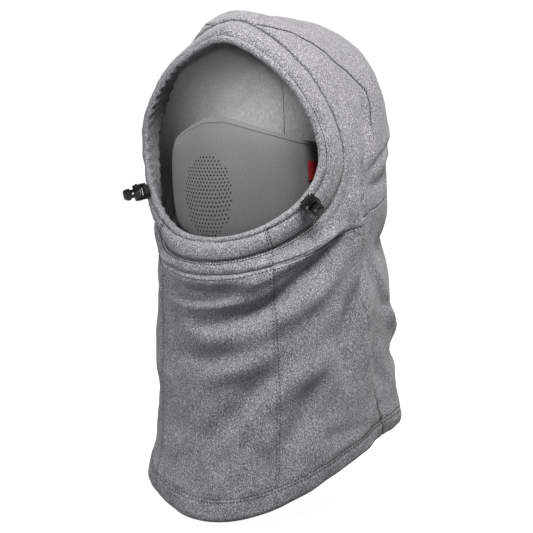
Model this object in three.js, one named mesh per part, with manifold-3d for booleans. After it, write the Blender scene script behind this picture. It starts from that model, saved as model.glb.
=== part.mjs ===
// Hooded balaclava with a hinged face mask, a drawcord tunnel round the face and two cord locks.
// Units are millimetres. +Z is up, +X is the wearer's left and the face looks along -Y.
// The origin is the middle of the wearer's head, level with the cheekbones.

import * as THREE from 'three';
import { mergeVertices } from 'three/addons/utils/BufferGeometryUtils.js';
import Module from 'manifold-3d';

const wasm = await Module();
wasm.setup();

// ---------------------------------------------------------------- driving dimensions

const shellThickness = 2.4;        // brushed-back knit
const liningDepth = 3.0;           // from the outer face of the shell to the lining
const liningThickness = 1.4;
const seamGap = 0.8;               // room left along a sewn seam between two panels
const hemTurnUp = 2.2;             // extra thickness where the hem is folded inside
const hemStart = 4.83;             // where the turned-up hem begins, along the sleeve
const chinSeam = 35;               // the two front seams, degrees round the sleeve from the chin
const lockAngle = 61.5;            // where the cord locks sit on the lip, degrees
const cordRadius = 1.0;
const degree = Math.PI / 180;

// The garment is one bent sleeve. Rings run from the lip of the face opening (0) past the seam
// of the drawcord tunnel (1) and the neckline seam (3) to the hem (5). Each ring is an oval
// through a front, a side and a back point, given as [y, z] in the plane of symmetry.
// upper and lower are the oval's roundness above and below its widest place; 2 is an ellipse.
const rings = [
  { at: 0.0, front: [-95, -30], side: [-52, 34], back: [-78, 133], halfWidth: 86, upper: 1.8, lower: 2.0 },
  { at: 1.0, front: [-100, -50], side: [-25, 26], back: [-55, 148], halfWidth: 92, upper: 1.78, lower: 2.05 },
  { at: 1.4, front: [-101, -52.5], side: [-16, 24], back: [-15, 153], halfWidth: 93.5, upper: 2.1, lower: 2.1 },
  { at: 1.8, front: [-101, -54.5], side: [-8, 20], back: [36, 149], halfWidth: 94.5, upper: 2.2, lower: 2.1 },
  { at: 2.2, front: [-101, -56.8], side: [-2, 12], back: [88, 127], halfWidth: 95.5, upper: 2.3, lower: 2.1 },
  { at: 2.6, front: [-100.5, -59], side: [2, -2], back: [119, 77], halfWidth: 95.5, upper: 2.3, lower: 2.1 },
  { at: 3.0, front: [-100, -61], side: [6, -20], back: [122, 4], halfWidth: 94.5, upper: 2.3, lower: 2.1 },
  { at: 3.5, front: [-92, -108], side: [11, -73], back: [125, -56], halfWidth: 94, upper: 2.2, lower: 2.15 },
  { at: 4.0, front: [-89, -163], side: [17, -127], back: [132, -112], halfWidth: 96, upper: 2.2, lower: 2.2 },
  { at: 4.5, front: [-90, -218], side: [20, -174], back: [138, -163], halfWidth: 97, upper: 2.2, lower: 2.2 },
  { at: 5.0, front: [-97, -270], side: [22, -217], back: [143, -212], halfWidth: 99, upper: 2.2, lower: 2.15 },
];

// The seam between the side panels and the crown: [along the sleeve, degrees from the chin].
const crownSeam = [
  [1, 168], [1.15, 160], [1.3, 147], [1.45, 134], [1.7, 128.5], [1.9, 123], [2.05, 112], [2.4, 99], [3, 84],
];
// The same seam carried down the neck to the hem.
const neckSeam = [[3, 84], [3.5, 82], [4.2, 89], [5, 100]];

// Section of the drawcord tunnel: [fraction of its width from the lip, depth under the surface].
const tunnelOutside = [
  [0, 3.6], [0.05, 0.9], [0.16, 0], [0.45, -0.6], [0.75, -0.3],
  [0.97, 0.4], [0.97, 4.2], [0.75, 6.2], [0.42, 7.2], [0.12, 6.6],
];
const tunnelInside = [
  [0.24, 3.5], [0.27, 2.5], [0.34, 1.9], [0.5, 1.6], [0.7, 1.9],
  [0.82, 2.5], [0.82, 3.3], [0.7, 4.3], [0.5, 5.3], [0.33, 5.0],
];

// Face mask: its centre line and the line of its ends, each [y, z] from chin to nose bridge.
const maskCentre = [[-84, -44], [-91, -22], [-94, 5], [-93, 28], [-88, 50], [-78, 67]];
const maskEnd = [[-13, 0], [-13, 44]];
const maskHalfWidth = 70;
const maskSpan = 80;               // degrees from the nose to each end of the panel
const maskThickness = 1.8;
const bridgeTurn = 8;              // the top edge is level this far each side of the nose
const cheekTurn = 60;              // and has come down by here
const maskTilt = 6;                // the top edge is higher on the wearer's left and lower on the right
const bindingWidth = 0.07;         // of the mask's height
const anchorLine = [[8, 14], [8, 42]];
const anchorX = 83.5;

// Cord lock, in its own frame: z points out from the lip, x lies along the lip.
const lock = {
  barHeight: 3.0,
  barRadius: 1.1,
  tabWidth: 10,
  tabThickness: 0.9,
  tabInnerRadius: 1.5,
  bodyBottom: 5.9,
  bodyTop: 13.2,
  bodyHalf: [7.6, 5.5],
  boreFloor: 6.7,
  boreHalf: [4.5, 2.8],
  stemHalf: [4.2, 2.5],
  stemBottom: 9.2,
  cordHeight: 11,
  knobBottom: 15.8,
  knobTop: 22.4,
  knobRadius: 5.2,
  press: 2.3,
};
const lockSides = [
  { side: 'left', sign: 1, outward: [0.78, -0.42, -0.46] },
  { side: 'right', sign: -1, outward: [-0.85, -0.52, -0.1] },
];

// ---------------------------------------------------------------- materials

function fabric(name, colour, roughness) {
  return new THREE.MeshStandardMaterial({ name, color: colour, roughness, metalness: 0 });
}

const shellKnit = fabric('shell_knit', 0x8f8f93, 0.95);
const liningFleece = fabric('lining_fleece', 0xa9a9ad, 1.0);
const maskCloth = fabric('mask_cloth', 0x6f7072, 0.85);
const maskTape = fabric('mask_tape', 0x66676a, 0.8);
const redWoven = fabric('label_woven', 0x8e1218, 0.8);
const blackWebbing = fabric('webbing', 0x141416, 0.8);
const blackElastic = fabric('elastic_cord', 0x101012, 0.75);
const blackNylon = fabric('lock_nylon', 0x0c0c0e, 0.45);
const springSteel = new THREE.MeshStandardMaterial({ color: 0xb8bcc0, roughness: 0.35, metalness: 1 });

// ---------------------------------------------------------------- small mathematics

function lerp(a, b, t) {
  return a + (b - a) * t;
}

// Straight-line reading of a table of [key, value] rows.
function readTable(table, key) {
  const upper = Math.min(Math.max(table.findIndex((row) => row[0] >= key), 1), table.length - 1);
  const [k0, v0] = table[upper - 1];
  const [k1, v1] = table[upper];
  return lerp(v0, v1, (key - k0) / (k1 - k0));
}

// A ring as one list of numbers, so that all of them interpolate alike.
function ringNumbers(ring) {
  return [...ring.front, ...ring.side, ...ring.back, ring.halfWidth, ring.upper, ring.lower];
}

const ringTable = rings.map(ringNumbers);

// Slope of one number at a ring, chosen so that the curve never overshoots between rings.
function slopeAt(index, column) {
  const slopeAfter = (k) => (
    (ringTable[k + 1][column] - ringTable[k][column]) / (rings[k + 1].at - rings[k].at)
  );
  if (index === 0) {
    return slopeAfter(0);
  }
  if (index === rings.length - 1) {
    return slopeAfter(index - 1);
  }
  const [before, after] = [slopeAfter(index - 1), slopeAfter(index)];
  if (before * after <= 0) {
    return 0;
  }
  const stepBefore = rings[index].at - rings[index - 1].at;
  const stepAfter = rings[index + 1].at - rings[index].at;
  const weightBefore = 2 * stepAfter + stepBefore;
  const weightAfter = stepAfter + 2 * stepBefore;
  return (weightBefore + weightAfter) / (weightBefore / before + weightAfter / after);
}

// Smooth ring at any place along the sleeve.
function ringAt(along) {
  const clamped = Math.min(Math.max(along, 0), 5);
  const next = Math.min(Math.max(rings.findIndex((ring) => ring.at > clamped), 1), rings.length - 1);
  const start = clamped >= 5 ? rings.length - 2 : next - 1;
  const step = rings[start + 1].at - rings[start].at;
  const t = (clamped - rings[start].at) / step;
  return ringTable[start].map((value, column) => {
    const end = ringTable[start + 1][column];
    const h10 = t * (1 - t) * (1 - t) * step * slopeAt(start, column);
    const h11 = t * t * (t - 1) * step * slopeAt(start + 1, column);
    return value * (1 + 2 * t) * (1 - t) * (1 - t) + h10 + end * t * t * (3 - 2 * t) + h11;
  });
}

// Outer face of the sleeve. angle is in degrees from the chin, growing towards the wearer's left.
function sleevePoint(angle, along) {
  const [fy, fz, sy, sz, by, bz, halfWidth, upper, lower] = ringAt(along);
  const length = Math.hypot(by - fy, bz - fz);
  const middle = ((sy - fy) * (by - fy) + (sz - fz) * (bz - fz)) / length ** 2;
  const bow = ((sy - fy) * (bz - fz) - (sz - fz) * (by - fy)) / length;
  const rise = -Math.cos(angle * degree);
  const sweep = Math.sin(angle * degree);
  const power = rise < 0 ? lower : upper;
  const scale = (Math.abs(rise) ** power + Math.abs(sweep) ** power) ** (-1 / power);
  const chord = middle + rise * scale * (rise < 0 ? middle : 1 - middle);
  const lift = bow * (sweep * scale) ** 2;
  return new THREE.Vector3(
    halfWidth * sweep * scale,
    lerp(fy, by, chord) + lift * (bz - fz) / length,
    lerp(fz, bz, chord) - lift * (by - fy) / length,
  );
}

function sleeveTangents(angle, along) {
  const round = sleevePoint(angle + 0.5, along).sub(sleevePoint(angle - 0.5, along));
  const low = Math.max(along - 0.01, 0);
  const high = Math.min(along + 0.01, 5);
  const down = sleevePoint(angle, high).sub(sleevePoint(angle, low)).divideScalar(high - low);
  return { round, down };
}

function sleeveNormal(angle, along) {
  const { round, down } = sleeveTangents(angle, along);
  return down.cross(round).normalize();
}

// A point a given depth under the outer face.
function layerPoint(angle, along, depth) {
  return sleevePoint(angle, along).addScaledVector(sleeveNormal(angle, along), -depth);
}

// ---------------------------------------------------------------- mesh helpers

function signedVolume(geometry) {
  const place = geometry.attributes.position;
  const index = geometry.index;
  const corners = [new THREE.Vector3(), new THREE.Vector3(), new THREE.Vector3()];
  let volume = 0;
  for (let i = 0; i < index.count; i += 3) {
    corners.forEach((corner, k) => corner.fromBufferAttribute(place, index.getX(i + k)));
    volume += corners[0].dot(corners[1].cross(corners[2])) / 6;
  }
  return volume;
}

// An indexed geometry from points and triangles, turned so that its faces point out.
function solidGeometry(points, triangles) {
  const geometry = new THREE.BufferGeometry();
  geometry.setAttribute('position', new THREE.Float32BufferAttribute(points.flatMap((p) => p.toArray()), 3));
  geometry.setIndex(triangles.flat());
  if (signedVolume(geometry) < 0) {
    geometry.setIndex(triangles.map(([a, b, c]) => [a, c, b]).flat());
  }
  geometry.computeVertexNormals();
  return geometry;
}

// A closed sheet from two grids of points, [row][column], one for each face.
function sheetSolid(outside, inside) {
  const rowCount = outside.length;
  const columnCount = outside[0].length;
  const points = [...outside.flat(), ...inside.flat()];
  const top = (row, column) => row * columnCount + column;
  const bottom = (row, column) => rowCount * columnCount + top(row, column);
  const triangles = [];
  const quad = (a, b, c, d) => triangles.push([a, b, c], [a, c, d]);
  for (let row = 0; row < rowCount - 1; row += 1) {
    for (let column = 0; column < columnCount - 1; column += 1) {
      quad(top(row, column), top(row, column + 1), top(row + 1, column + 1), top(row + 1, column));
      quad(bottom(row, column), bottom(row + 1, column), bottom(row + 1, column + 1), bottom(row, column + 1));
    }
  }
  const lastRow = rowCount - 1;
  const lastColumn = columnCount - 1;
  for (let column = 0; column < lastColumn; column += 1) {
    quad(top(0, column), bottom(0, column), bottom(0, column + 1), top(0, column + 1));
    quad(top(lastRow, column), top(lastRow, column + 1), bottom(lastRow, column + 1), bottom(lastRow, column));
  }
  for (let row = 0; row < lastRow; row += 1) {
    quad(top(row, 0), top(row + 1, 0), bottom(row + 1, 0), bottom(row, 0));
    quad(top(row, lastColumn), bottom(row, lastColumn), bottom(row + 1, lastColumn), top(row + 1, lastColumn));
  }
  return solidGeometry(points, triangles);
}

// Rings of points joined one after another, with flat ends.
function loftSolid(loops) {
  const count = loops[0].length;
  const triangles = [];
  for (let ring = 0; ring < loops.length - 1; ring += 1) {
    for (let k = 0; k < count; k += 1) {
      const a = ring * count + k;
      const b = ring * count + (k + 1) % count;
      triangles.push([a, b, b + count], [a, b + count, a + count]);
    }
  }
  const last = (loops.length - 1) * count;
  for (let k = 1; k < count - 1; k += 1) {
    triangles.push([0, k + 1, k], [last, last + k, last + k + 1]);
  }
  return solidGeometry(loops.flat(), triangles);
}

// A hollow sweep, open at both ends: each station has an outside loop and an inside loop.
function pipeSolid(outsideLoops, insideLoops) {
  const count = outsideLoops[0].length;
  const stationCount = outsideLoops.length;
  const points = [...outsideLoops.flat(), ...insideLoops.flat()];
  const triangles = [];
  const outer = (station, k) => station * count + k % count;
  const inner = (station, k) => stationCount * count + outer(station, k);
  for (let k = 0; k < count; k += 1) {
    for (let station = 0; station < stationCount - 1; station += 1) {
      const next = station + 1;
      triangles.push([outer(station, k), outer(station, k + 1), outer(next, k + 1)]);
      triangles.push([outer(station, k), outer(next, k + 1), outer(next, k)]);
      triangles.push([inner(station, k), inner(next, k + 1), inner(station, k + 1)]);
      triangles.push([inner(station, k), inner(next, k), inner(next, k + 1)]);
    }
    for (const [station, flip] of [[0, false], [stationCount - 1, true]]) {
      const [a, b] = [outer(station, k), outer(station, k + 1)];
      const [c, d] = [inner(station, k), inner(station, k + 1)];
      triangles.push(flip ? [a, b, d] : [a, d, b], flip ? [a, d, c] : [a, c, d]);
    }
  }
  return solidGeometry(points, triangles);
}

function toManifold(geometry) {
  const bare = geometry.clone();
  bare.deleteAttribute('normal');
  bare.deleteAttribute('uv');
  const merged = mergeVertices(bare, 1e-4);
  return new wasm.Manifold(new wasm.Mesh({
    numProp: 3,
    vertProperties: new Float32Array(merged.attributes.position.array),
    triVerts: new Uint32Array(merged.index.array),
  }));
}

function fromManifold(solid) {
  const mesh = solid.getMesh();
  const geometry = new THREE.BufferGeometry();
  geometry.setAttribute('position', new THREE.BufferAttribute(new Float32Array(mesh.vertProperties), 3));
  geometry.setIndex(new THREE.BufferAttribute(new Uint32Array(mesh.triVerts), 1));
  geometry.computeVertexNormals();
  return geometry;
}

function joined(geometries) {
  const [first, ...rest] = geometries.map(toManifold);
  return fromManifold(rest.reduce((whole, solid) => whole.add(solid), first));
}

function cut(geometry, tools) {
  return fromManifold(tools.map(toManifold).reduce((whole, tool) => whole.subtract(tool), toManifold(geometry)));
}

const garment = new THREE.Group();

function addPiece(parent, name, geometry, material) {
  const mesh = new THREE.Mesh(geometry, material);
  mesh.name = name;
  parent.add(mesh);
  return mesh;
}

// ---------------------------------------------------------------- fabric panels

// A panel of the sleeve. leftEdge and rightEdge give its sides in degrees at a place along the
// sleeve, and thickness gives its outer and inner depths there.
function sleevePanel({ leftEdge, rightEdge, places, columns, depths }) {
  const outside = [];
  const inside = [];
  places.forEach((place, row) => {
    const outerRow = [];
    const innerRow = [];
    for (let column = 0; column <= columns; column += 1) {
      const angle = lerp(leftEdge(place), rightEdge(place), column / columns);
      const { round, down } = sleeveTangents(angle, place);
      const inward = column === 0 ? 1 : column === columns ? -1 : 0;
      const along = row === 0 ? 1 : row === places.length - 1 ? -1 : 0;
      const trimmedAngle = angle + inward * seamGap / 2 / round.length();
      const trimmedPlace = place + along * seamGap / 2 / down.length();
      const [outerDepth, innerDepth] = depths(place);
      outerRow.push(layerPoint(trimmedAngle, trimmedPlace, outerDepth));
      innerRow.push(layerPoint(trimmedAngle, trimmedPlace, innerDepth));
    }
    outside.push(outerRow);
    inside.push(innerRow);
  });
  return sheetSolid(outside, inside);
}

function evenPlaces(from, to, count) {
  return Array.from({ length: count + 1 }, (_, k) => lerp(from, to, k / count));
}

const hoodPlaces = evenPlaces(1, 3, 9);
const neckPlaces = [...evenPlaces(3, hemStart - 0.03, 6), hemStart, 5];

function shellDepths(place) {
  return [0, place >= hemStart ? shellThickness + hemTurnUp : shellThickness];
}

function liningDepths() {
  return [liningDepth, liningDepth + liningThickness];
}

const crownEdge = (place) => readTable(crownSeam, place);
const neckEdge = (place) => readTable(neckSeam, place);
const frontEdge = () => chinSeam;

// The left panel is mirrored into the right one by measuring the angles the other way round.
function addSidePanels(name, edges, places, columns, depths, material) {
  for (const { side, sign } of lockSides) {
    const near = (place) => sign * edges[0](place);
    const far = (place) => sign * edges[1](place);
    const [leftEdge, rightEdge] = sign > 0 ? [near, far] : [far, near];
    addPiece(garment, `${name}_${side}`, sleevePanel({ leftEdge, rightEdge, places, columns, depths }), material);
  }
}

function addMiddlePanel(name, edge, round, places, columns, depths, material) {
  const leftEdge = (place) => (round ? edge(place) : -edge(place));
  const rightEdge = (place) => (round ? 360 - edge(place) : edge(place));
  addPiece(garment, name, sleevePanel({ leftEdge, rightEdge, places, columns, depths }), material);
}

function addShell() {
  addMiddlePanel('chin_band', frontEdge, false, hoodPlaces, 8, shellDepths, shellKnit);
  addSidePanels('hood_side_panel', [frontEdge, crownEdge], hoodPlaces, 12, shellDepths, shellKnit);
  addMiddlePanel('crown_panel', crownEdge, true, hoodPlaces, 14, shellDepths, shellKnit);
  addMiddlePanel('front_bib_panel', frontEdge, false, neckPlaces, 10, shellDepths, shellKnit);
  addSidePanels('neck_side_panel', [frontEdge, neckEdge], neckPlaces, 8, shellDepths, shellKnit);
  addMiddlePanel('neck_back_panel', neckEdge, true, neckPlaces, 18, shellDepths, shellKnit);
}

function addLining() {
  addSidePanels('hood_lining_side', [frontEdge, crownEdge], hoodPlaces, 12, liningDepths, liningFleece);
  addMiddlePanel('hood_lining_crown', crownEdge, true, hoodPlaces, 14, liningDepths, liningFleece);
}

// ---------------------------------------------------------------- drawcord tunnel

const tunnelStep = 7.25;           // degrees between stations round the face

function tunnelLoop(section, angle) {
  return section.map(([along, depth]) => layerPoint(angle, along, depth));
}

function tunnelPiece(fromAngle, toAngle) {
  const stations = Math.round((toAngle - fromAngle) / tunnelStep);
  const trim = seamGap / 2 / 1.6;
  const angles = evenPlaces(fromAngle + trim, toAngle - trim, stations);
  const outsideLoops = angles.map((angle) => tunnelLoop(tunnelOutside, angle));
  const insideLoops = angles.map((angle) => tunnelLoop(tunnelInside, angle));
  return pipeSolid(outsideLoops, insideLoops);
}

const eyelet = { along: 0.42, innerRadius: 2.4, barrelRadius: 2.8, flangeRadius: 4.4, flangeHeight: 1.7 };

// Turns a shape made along +Z so that it points out of the fabric at the eyelet.
function placeAtEyelet(geometry, sign) {
  const angle = sign * lockAngle;
  const turn = new THREE.Quaternion().setFromUnitVectors(
    new THREE.Vector3(0, 0, 1),
    sleeveNormal(angle, eyelet.along),
  );
  const centre = sleevePoint(angle, eyelet.along);
  return geometry.applyQuaternion(turn).translate(centre.x, centre.y, centre.z);
}

function eyeletGeometry() {
  const { innerRadius, barrelRadius, flangeRadius, flangeHeight } = eyelet;
  const profile = [
    [innerRadius, -1.4], [barrelRadius, -1.4], [barrelRadius, 1.1], [flangeRadius, 1.1],
    [flangeRadius, flangeHeight - 0.2], [flangeRadius - 0.3, flangeHeight], [innerRadius, flangeHeight],
    [innerRadius, -1.4],
  ].map(([x, y]) => new THREE.Vector2(x, y));
  return new THREE.LatheGeometry(profile, 20).rotateX(Math.PI / 2);
}

function eyeletHole(sign) {
  const hole = new THREE.CylinderGeometry(eyelet.barrelRadius + 0.35, eyelet.barrelRadius + 0.35, 5.4, 20);
  return placeAtEyelet(hole.rotateX(Math.PI / 2), sign);
}

function addTunnel() {
  addPiece(garment, 'drawcord_tunnel_chin', tunnelPiece(-chinSeam, chinSeam), shellKnit);
  const left = cut(tunnelPiece(chinSeam, 180), [eyeletHole(1)]);
  const right = cut(tunnelPiece(180, 360 - chinSeam), [eyeletHole(-1)]);
  addPiece(garment, 'drawcord_tunnel_left', left, shellKnit);
  addPiece(garment, 'drawcord_tunnel_right', right, shellKnit);
  for (const { side, sign } of lockSides) {
    addPiece(garment, `eyelet_${side}`, placeAtEyelet(eyeletGeometry(), sign), blackNylon);
  }
}

// A length of the drawcord inside the tunnel, as an eight-sided rod.
function drawcordRun(fromAngle, toAngle) {
  const stations = Math.round((toAngle - fromAngle) / tunnelStep);
  const loops = evenPlaces(fromAngle, toAngle, stations).map((angle) => {
    const centre = layerPoint(angle, 0.55, 3.4);
    const out = sleeveNormal(angle, 0.55);
    const across = sleeveTangents(angle, 0.55).round.cross(out).normalize();
    return Array.from({ length: 8 }, (_, k) => centre.clone()
      .addScaledVector(out, cordRadius * Math.cos(k * Math.PI / 4))
      .addScaledVector(across, cordRadius * Math.sin(k * Math.PI / 4)));
  });
  return loftSolid(loops);
}

function addDrawcord() {
  addPiece(garment, 'drawcord_over_crown', drawcordRun(lockAngle + 4, 360 - lockAngle - 4), blackElastic);
  addPiece(garment, 'drawcord_under_chin', drawcordRun(-lockAngle + 4, lockAngle - 4), blackElastic);
}

// ---------------------------------------------------------------- face mask

function polylineAt(points, t) {
  const curve = new THREE.CatmullRomCurve3(points.map(([y, z]) => new THREE.Vector3(0, y, z)));
  const place = curve.getPoint(t);
  return [place.y, place.z];
}

// The mask bulges like a bowl. turn is in degrees from the nose, height runs from chin to bridge.
function clamp(value, low, high) {
  return Math.min(Math.max(value, low), high);
}

function maskPoint(turn, height) {
  const [centreY, centreZ] = polylineAt(maskCentre, height);
  const [endY, endZ] = [lerp(maskEnd[0][0], maskEnd[1][0], height), lerp(maskEnd[0][1], maskEnd[1][1], height)];
  const round = Math.cos(turn * degree);
  const endRound = Math.cos(maskSpan * degree);
  const reach = Math.max((round - endRound) / (1 - endRound), 0);
  const slope = clamp((cheekTurn - Math.abs(turn)) / (cheekTurn - bridgeTurn), 0, 1);
  const beak = lerp(reach, slope, height);
  const fullness = reach ** (1 - 0.25 * height ** 2);
  const across = Math.sin(turn * degree);
  const tilt = maskTilt * height ** 2 * across * clamp(reach / 0.4, 0, 1);
  return new THREE.Vector3(
    maskHalfWidth * across,
    lerp(endY, centreY, fullness),
    lerp(endZ, centreZ, beak) + tilt,
  );
}

function maskNormal(turn, height) {
  const low = Math.max(height - 0.01, 0);
  const high = Math.min(height + 0.01, 1);
  const across = maskPoint(turn + 0.5, height).sub(maskPoint(turn - 0.5, height));
  const up = maskPoint(turn, high).sub(maskPoint(turn, low));
  return across.cross(up).normalize();
}

function maskPatch(turns, heights, outerRise, innerRise) {
  const grid = (rise) => heights.map((height) => turns.map((turn) => (
    maskPoint(turn, height).addScaledVector(maskNormal(turn, height), rise)
  )));
  return sheetSolid(grid(outerRise), grid(innerRise));
}

function addMask() {
  const turns = evenPlaces(-maskSpan, maskSpan, 20);
  const panelHeights = evenPlaces(bindingWidth + 0.006, 1 - bindingWidth - 0.006, 7);
  addPiece(garment, 'mask_panel', maskPatch(turns, panelHeights, 0, -maskThickness), maskCloth);
  const topHeights = [1 - bindingWidth, 1];
  const bottomHeights = [0, bindingWidth];
  addPiece(garment, 'mask_top_binding', maskPatch(turns, topHeights, 0.3, -2.1), maskTape);
  addPiece(garment, 'mask_bottom_binding', maskPatch(turns, bottomHeights, 0.3, -2.1), maskTape);
  const labelTurns = [66, 69, 72, 75];
  addPiece(garment, 'mask_label', maskPatch(labelTurns, [0.37, 0.52, 0.66], 1.2, 0.4), redWoven);
}

// The wings run from the ends of the mask back to the tapes sewn into the hood lining.
function wingPoint(sign, back, height) {
  const front = maskPoint(sign * maskSpan, height);
  const rearY = lerp(anchorLine[0][0], anchorLine[1][0], height);
  const rearZ = lerp(anchorLine[0][1], anchorLine[1][1], height);
  return new THREE.Vector3(
    lerp(front.x, sign * anchorX, back ** 1.3),
    lerp(front.y + 0.8, rearY, back),
    lerp(front.z, rearZ, back),
  );
}

function addWings() {
  for (const { side, sign } of lockSides) {
    const grid = (inset) => evenPlaces(0, 1, 3).map((height) => evenPlaces(0, 1, 4).map((back) => {
      const place = wingPoint(sign, back, height);
      place.x -= sign * inset;
      return place;
    }));
    addPiece(garment, `mask_wing_${side}`, sheetSolid(grid(0), grid(1.4)), maskCloth);
    const tape = new THREE.BoxGeometry(4, 14, 26);
    tape.translate(sign * (anchorX + 2.6), anchorLine[0][0], 28);
    addPiece(garment, `mask_anchor_tape_${side}`, tape, maskTape);
  }
}

// ---------------------------------------------------------------- cord locks

function ovalLoop([halfX, halfY], scale, z, count = 24) {
  return Array.from({ length: count }, (_, k) => {
    const turn = k / count * 2 * Math.PI;
    const cosine = Math.cos(turn);
    const sine = Math.sin(turn);
    const squareness = (Math.abs(cosine) ** 2.6 + Math.abs(sine) ** 2.6) ** (-1 / 2.6);
    return new THREE.Vector3(halfX * scale * cosine * squareness, halfY * scale * sine * squareness, z);
  });
}

// The folded webbing that holds the lock's bar: a loop with a flat foot on the lip.
function webbingTab() {
  const { barHeight, tabInnerRadius, tabThickness, tabWidth } = lock;
  const outer = tabInnerRadius + tabThickness;
  const outline = new THREE.Shape();
  outline.moveTo(-outer, 0.4);
  outline.lineTo(outer, 0.4);
  outline.lineTo(outer, barHeight);
  outline.absarc(0, barHeight, outer, 0, Math.PI, false);
  const hole = new THREE.Path();
  hole.moveTo(-tabInnerRadius, 1.2);
  hole.lineTo(-tabInnerRadius, barHeight);
  hole.absarc(0, barHeight, tabInnerRadius, Math.PI, 0, true);
  hole.lineTo(tabInnerRadius, 1.2);
  outline.holes.push(hole);
  const band = new THREE.ExtrudeGeometry(outline, { depth: tabWidth, bevelEnabled: false, curveSegments: 8 });
  // Stand the outline up: its x becomes the lock's y, its y the lock's z, its depth the lock's x.
  const standing = new THREE.Matrix4().makeBasis(
    new THREE.Vector3(0, 1, 0),
    new THREE.Vector3(0, 0, 1),
    new THREE.Vector3(1, 0, 0),
  );
  return band.applyMatrix4(standing).translate(-tabWidth / 2, 0, 0);
}

function box(width, depth, bottom, top, x = 0, y = 0) {
  return new THREE.BoxGeometry(width, depth, top - bottom).translate(x, y, (bottom + top) / 2);
}

function lockBody() {
  const { bodyBottom, bodyTop, bodyHalf, boreFloor, boreHalf, barHeight, barRadius, cordHeight } = lock;
  const profile = [[0, 0.86], [0.12, 0.96], [0.3, 1], [0.75, 1], [0.92, 0.95], [1, 0.86]];
  const barrel = loftSolid(profile.map(([t, scale]) => ovalLoop(bodyHalf, scale, lerp(bodyBottom, bodyTop, t))));
  const ears = [-1, 1].map((sign) => box(1.6, 4, 1.7, bodyBottom + 0.8, sign * 6.4));
  const bar = new THREE.CylinderGeometry(barRadius, barRadius, 12.6, 14).rotateZ(Math.PI / 2);
  bar.translate(0, 0, barHeight);
  const bore = loftSolid([boreFloor, bodyTop + 1].map((z) => ovalLoop(boreHalf, 1, z)));
  const cordHole = box(5.2, 14, cordHeight - 1.35, cordHeight + 1.35);
  return cut(joined([barrel, ...ears, bar]), [bore, cordHole]);
}

// Stem and ribbed thumb knob. The slot lets the cord through over the whole press.
function lockPlunger() {
  const { stemHalf, stemBottom, knobBottom, knobTop, knobRadius, cordHeight, press } = lock;
  const stem = loftSolid([stemBottom, knobBottom + 1].map((z) => ovalLoop(stemHalf, 1, z)));
  const rise = knobTop - knobBottom;
  const dome = [[0, 0], [0.88, 0], [0.96, 0.1], [0.96, 0.55], [0.86, 0.82], [0.6, 0.97], [0, 1]];
  const knob = new THREE.LatheGeometry(
    dome.map(([r, z]) => new THREE.Vector2(r * knobRadius, knobBottom + z * rise)),
    20,
  ).rotateX(Math.PI / 2);
  const ribs = Array.from({ length: 10 }, (_, k) => {
    const rib = box(0.9, 1.1, knobBottom + 0.5, knobBottom + 0.58 * rise, 0, knobRadius - 0.35);
    return rib.rotateZ(k * Math.PI / 5);
  });
  const slot = box(5, 12, cordHeight - 1.2, cordHeight + 1.2 + press);
  return cut(joined([stem, knob, ...ribs]), [slot]);
}

function lockSpring() {
  const turns = 2.2;
  const [low, high] = [lock.boreFloor + 0.5, lock.stemBottom - 0.5];
  class Helix extends THREE.Curve {
    getPoint(t, target = new THREE.Vector3()) {
      const angle = t * turns * 2 * Math.PI;
      return target.set(1.9 * Math.cos(angle), 1.9 * Math.sin(angle), lerp(low, high, t));
    }
  }
  const wire = new THREE.Shape();
  wire.absarc(0, 0, 0.22, 0, 2 * Math.PI, false);
  return new THREE.ExtrudeGeometry(wire, { extrudePath: new Helix(), steps: 30, curveSegments: 3 });
}

// The bight of the drawcord: out of the tunnel, through the lock and back again.
function cordLoop() {
  const half = 1.3;
  const [behind, front] = [-8.6, 6];
  const z = lock.cordHeight;
  const route = [
    [half, behind, z - 2.6], [half, behind + 1.6, z - 0.6], [half, behind + 3.4, z], [half, 0, z],
    [half, front, z], [half + 0.7, front + 2.2, z - 0.6], [0, front + 4.6, z - 1.4],
    [-half - 0.7, front + 2.2, z - 0.6], [-half, front, z], [-half, 0, z],
    [-half, behind + 3.4, z], [-half, behind + 1.6, z - 0.6], [-half, behind, z - 2.6],
  ].map((point) => new THREE.Vector3(...point));
  const section = new THREE.Shape();
  section.absarc(0, 0, cordRadius, 0, 2 * Math.PI, false);
  return new THREE.ExtrudeGeometry(section, {
    extrudePath: new THREE.CatmullRomCurve3(route),
    steps: 44,
    curveSegments: 4,
  });
}

// The lock's frame: z points outward, x lies along the lip and y points forward, off the face.
function lockFrame(sign, outward) {
  const angle = sign * lockAngle;
  const along = sleeveTangents(angle, 0).round.normalize();
  const out = new THREE.Vector3(...outward);
  out.addScaledVector(along, -out.dot(along)).normalize();
  const forward = out.clone().cross(along);
  const frame = new THREE.Group();
  frame.quaternion.setFromRotationMatrix(new THREE.Matrix4().makeBasis(along, forward, out));
  frame.position.copy(layerPoint(angle, 0.06, -0.2));
  return frame;
}

function addCordLocks() {
  for (const { side, sign, outward } of lockSides) {
    const frame = lockFrame(sign, outward);
    addPiece(frame, `cord_lock_tab_${side}`, webbingTab(), blackWebbing);
    addPiece(frame, `cord_lock_body_${side}`, lockBody(), blackNylon);
    addPiece(frame, `cord_lock_plunger_${side}`, lockPlunger(), blackNylon);
    addPiece(frame, `cord_lock_spring_${side}`, lockSpring(), springSteel);
    addPiece(frame, `cord_loop_${side}`, cordLoop(), blackElastic);
    garment.add(frame);
  }
}

addShell();
addLining();
addTunnel();
addDrawcord();
addMask();
addWings();
addCordLocks();

export default garment;
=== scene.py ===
"""Looks for a hooded balaclava: knit shell, drawcord tunnel, lining, face mask and cord locks."""
import math

import bpy
import numpy as np
from mathutils import Matrix, Vector, geometry


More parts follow.
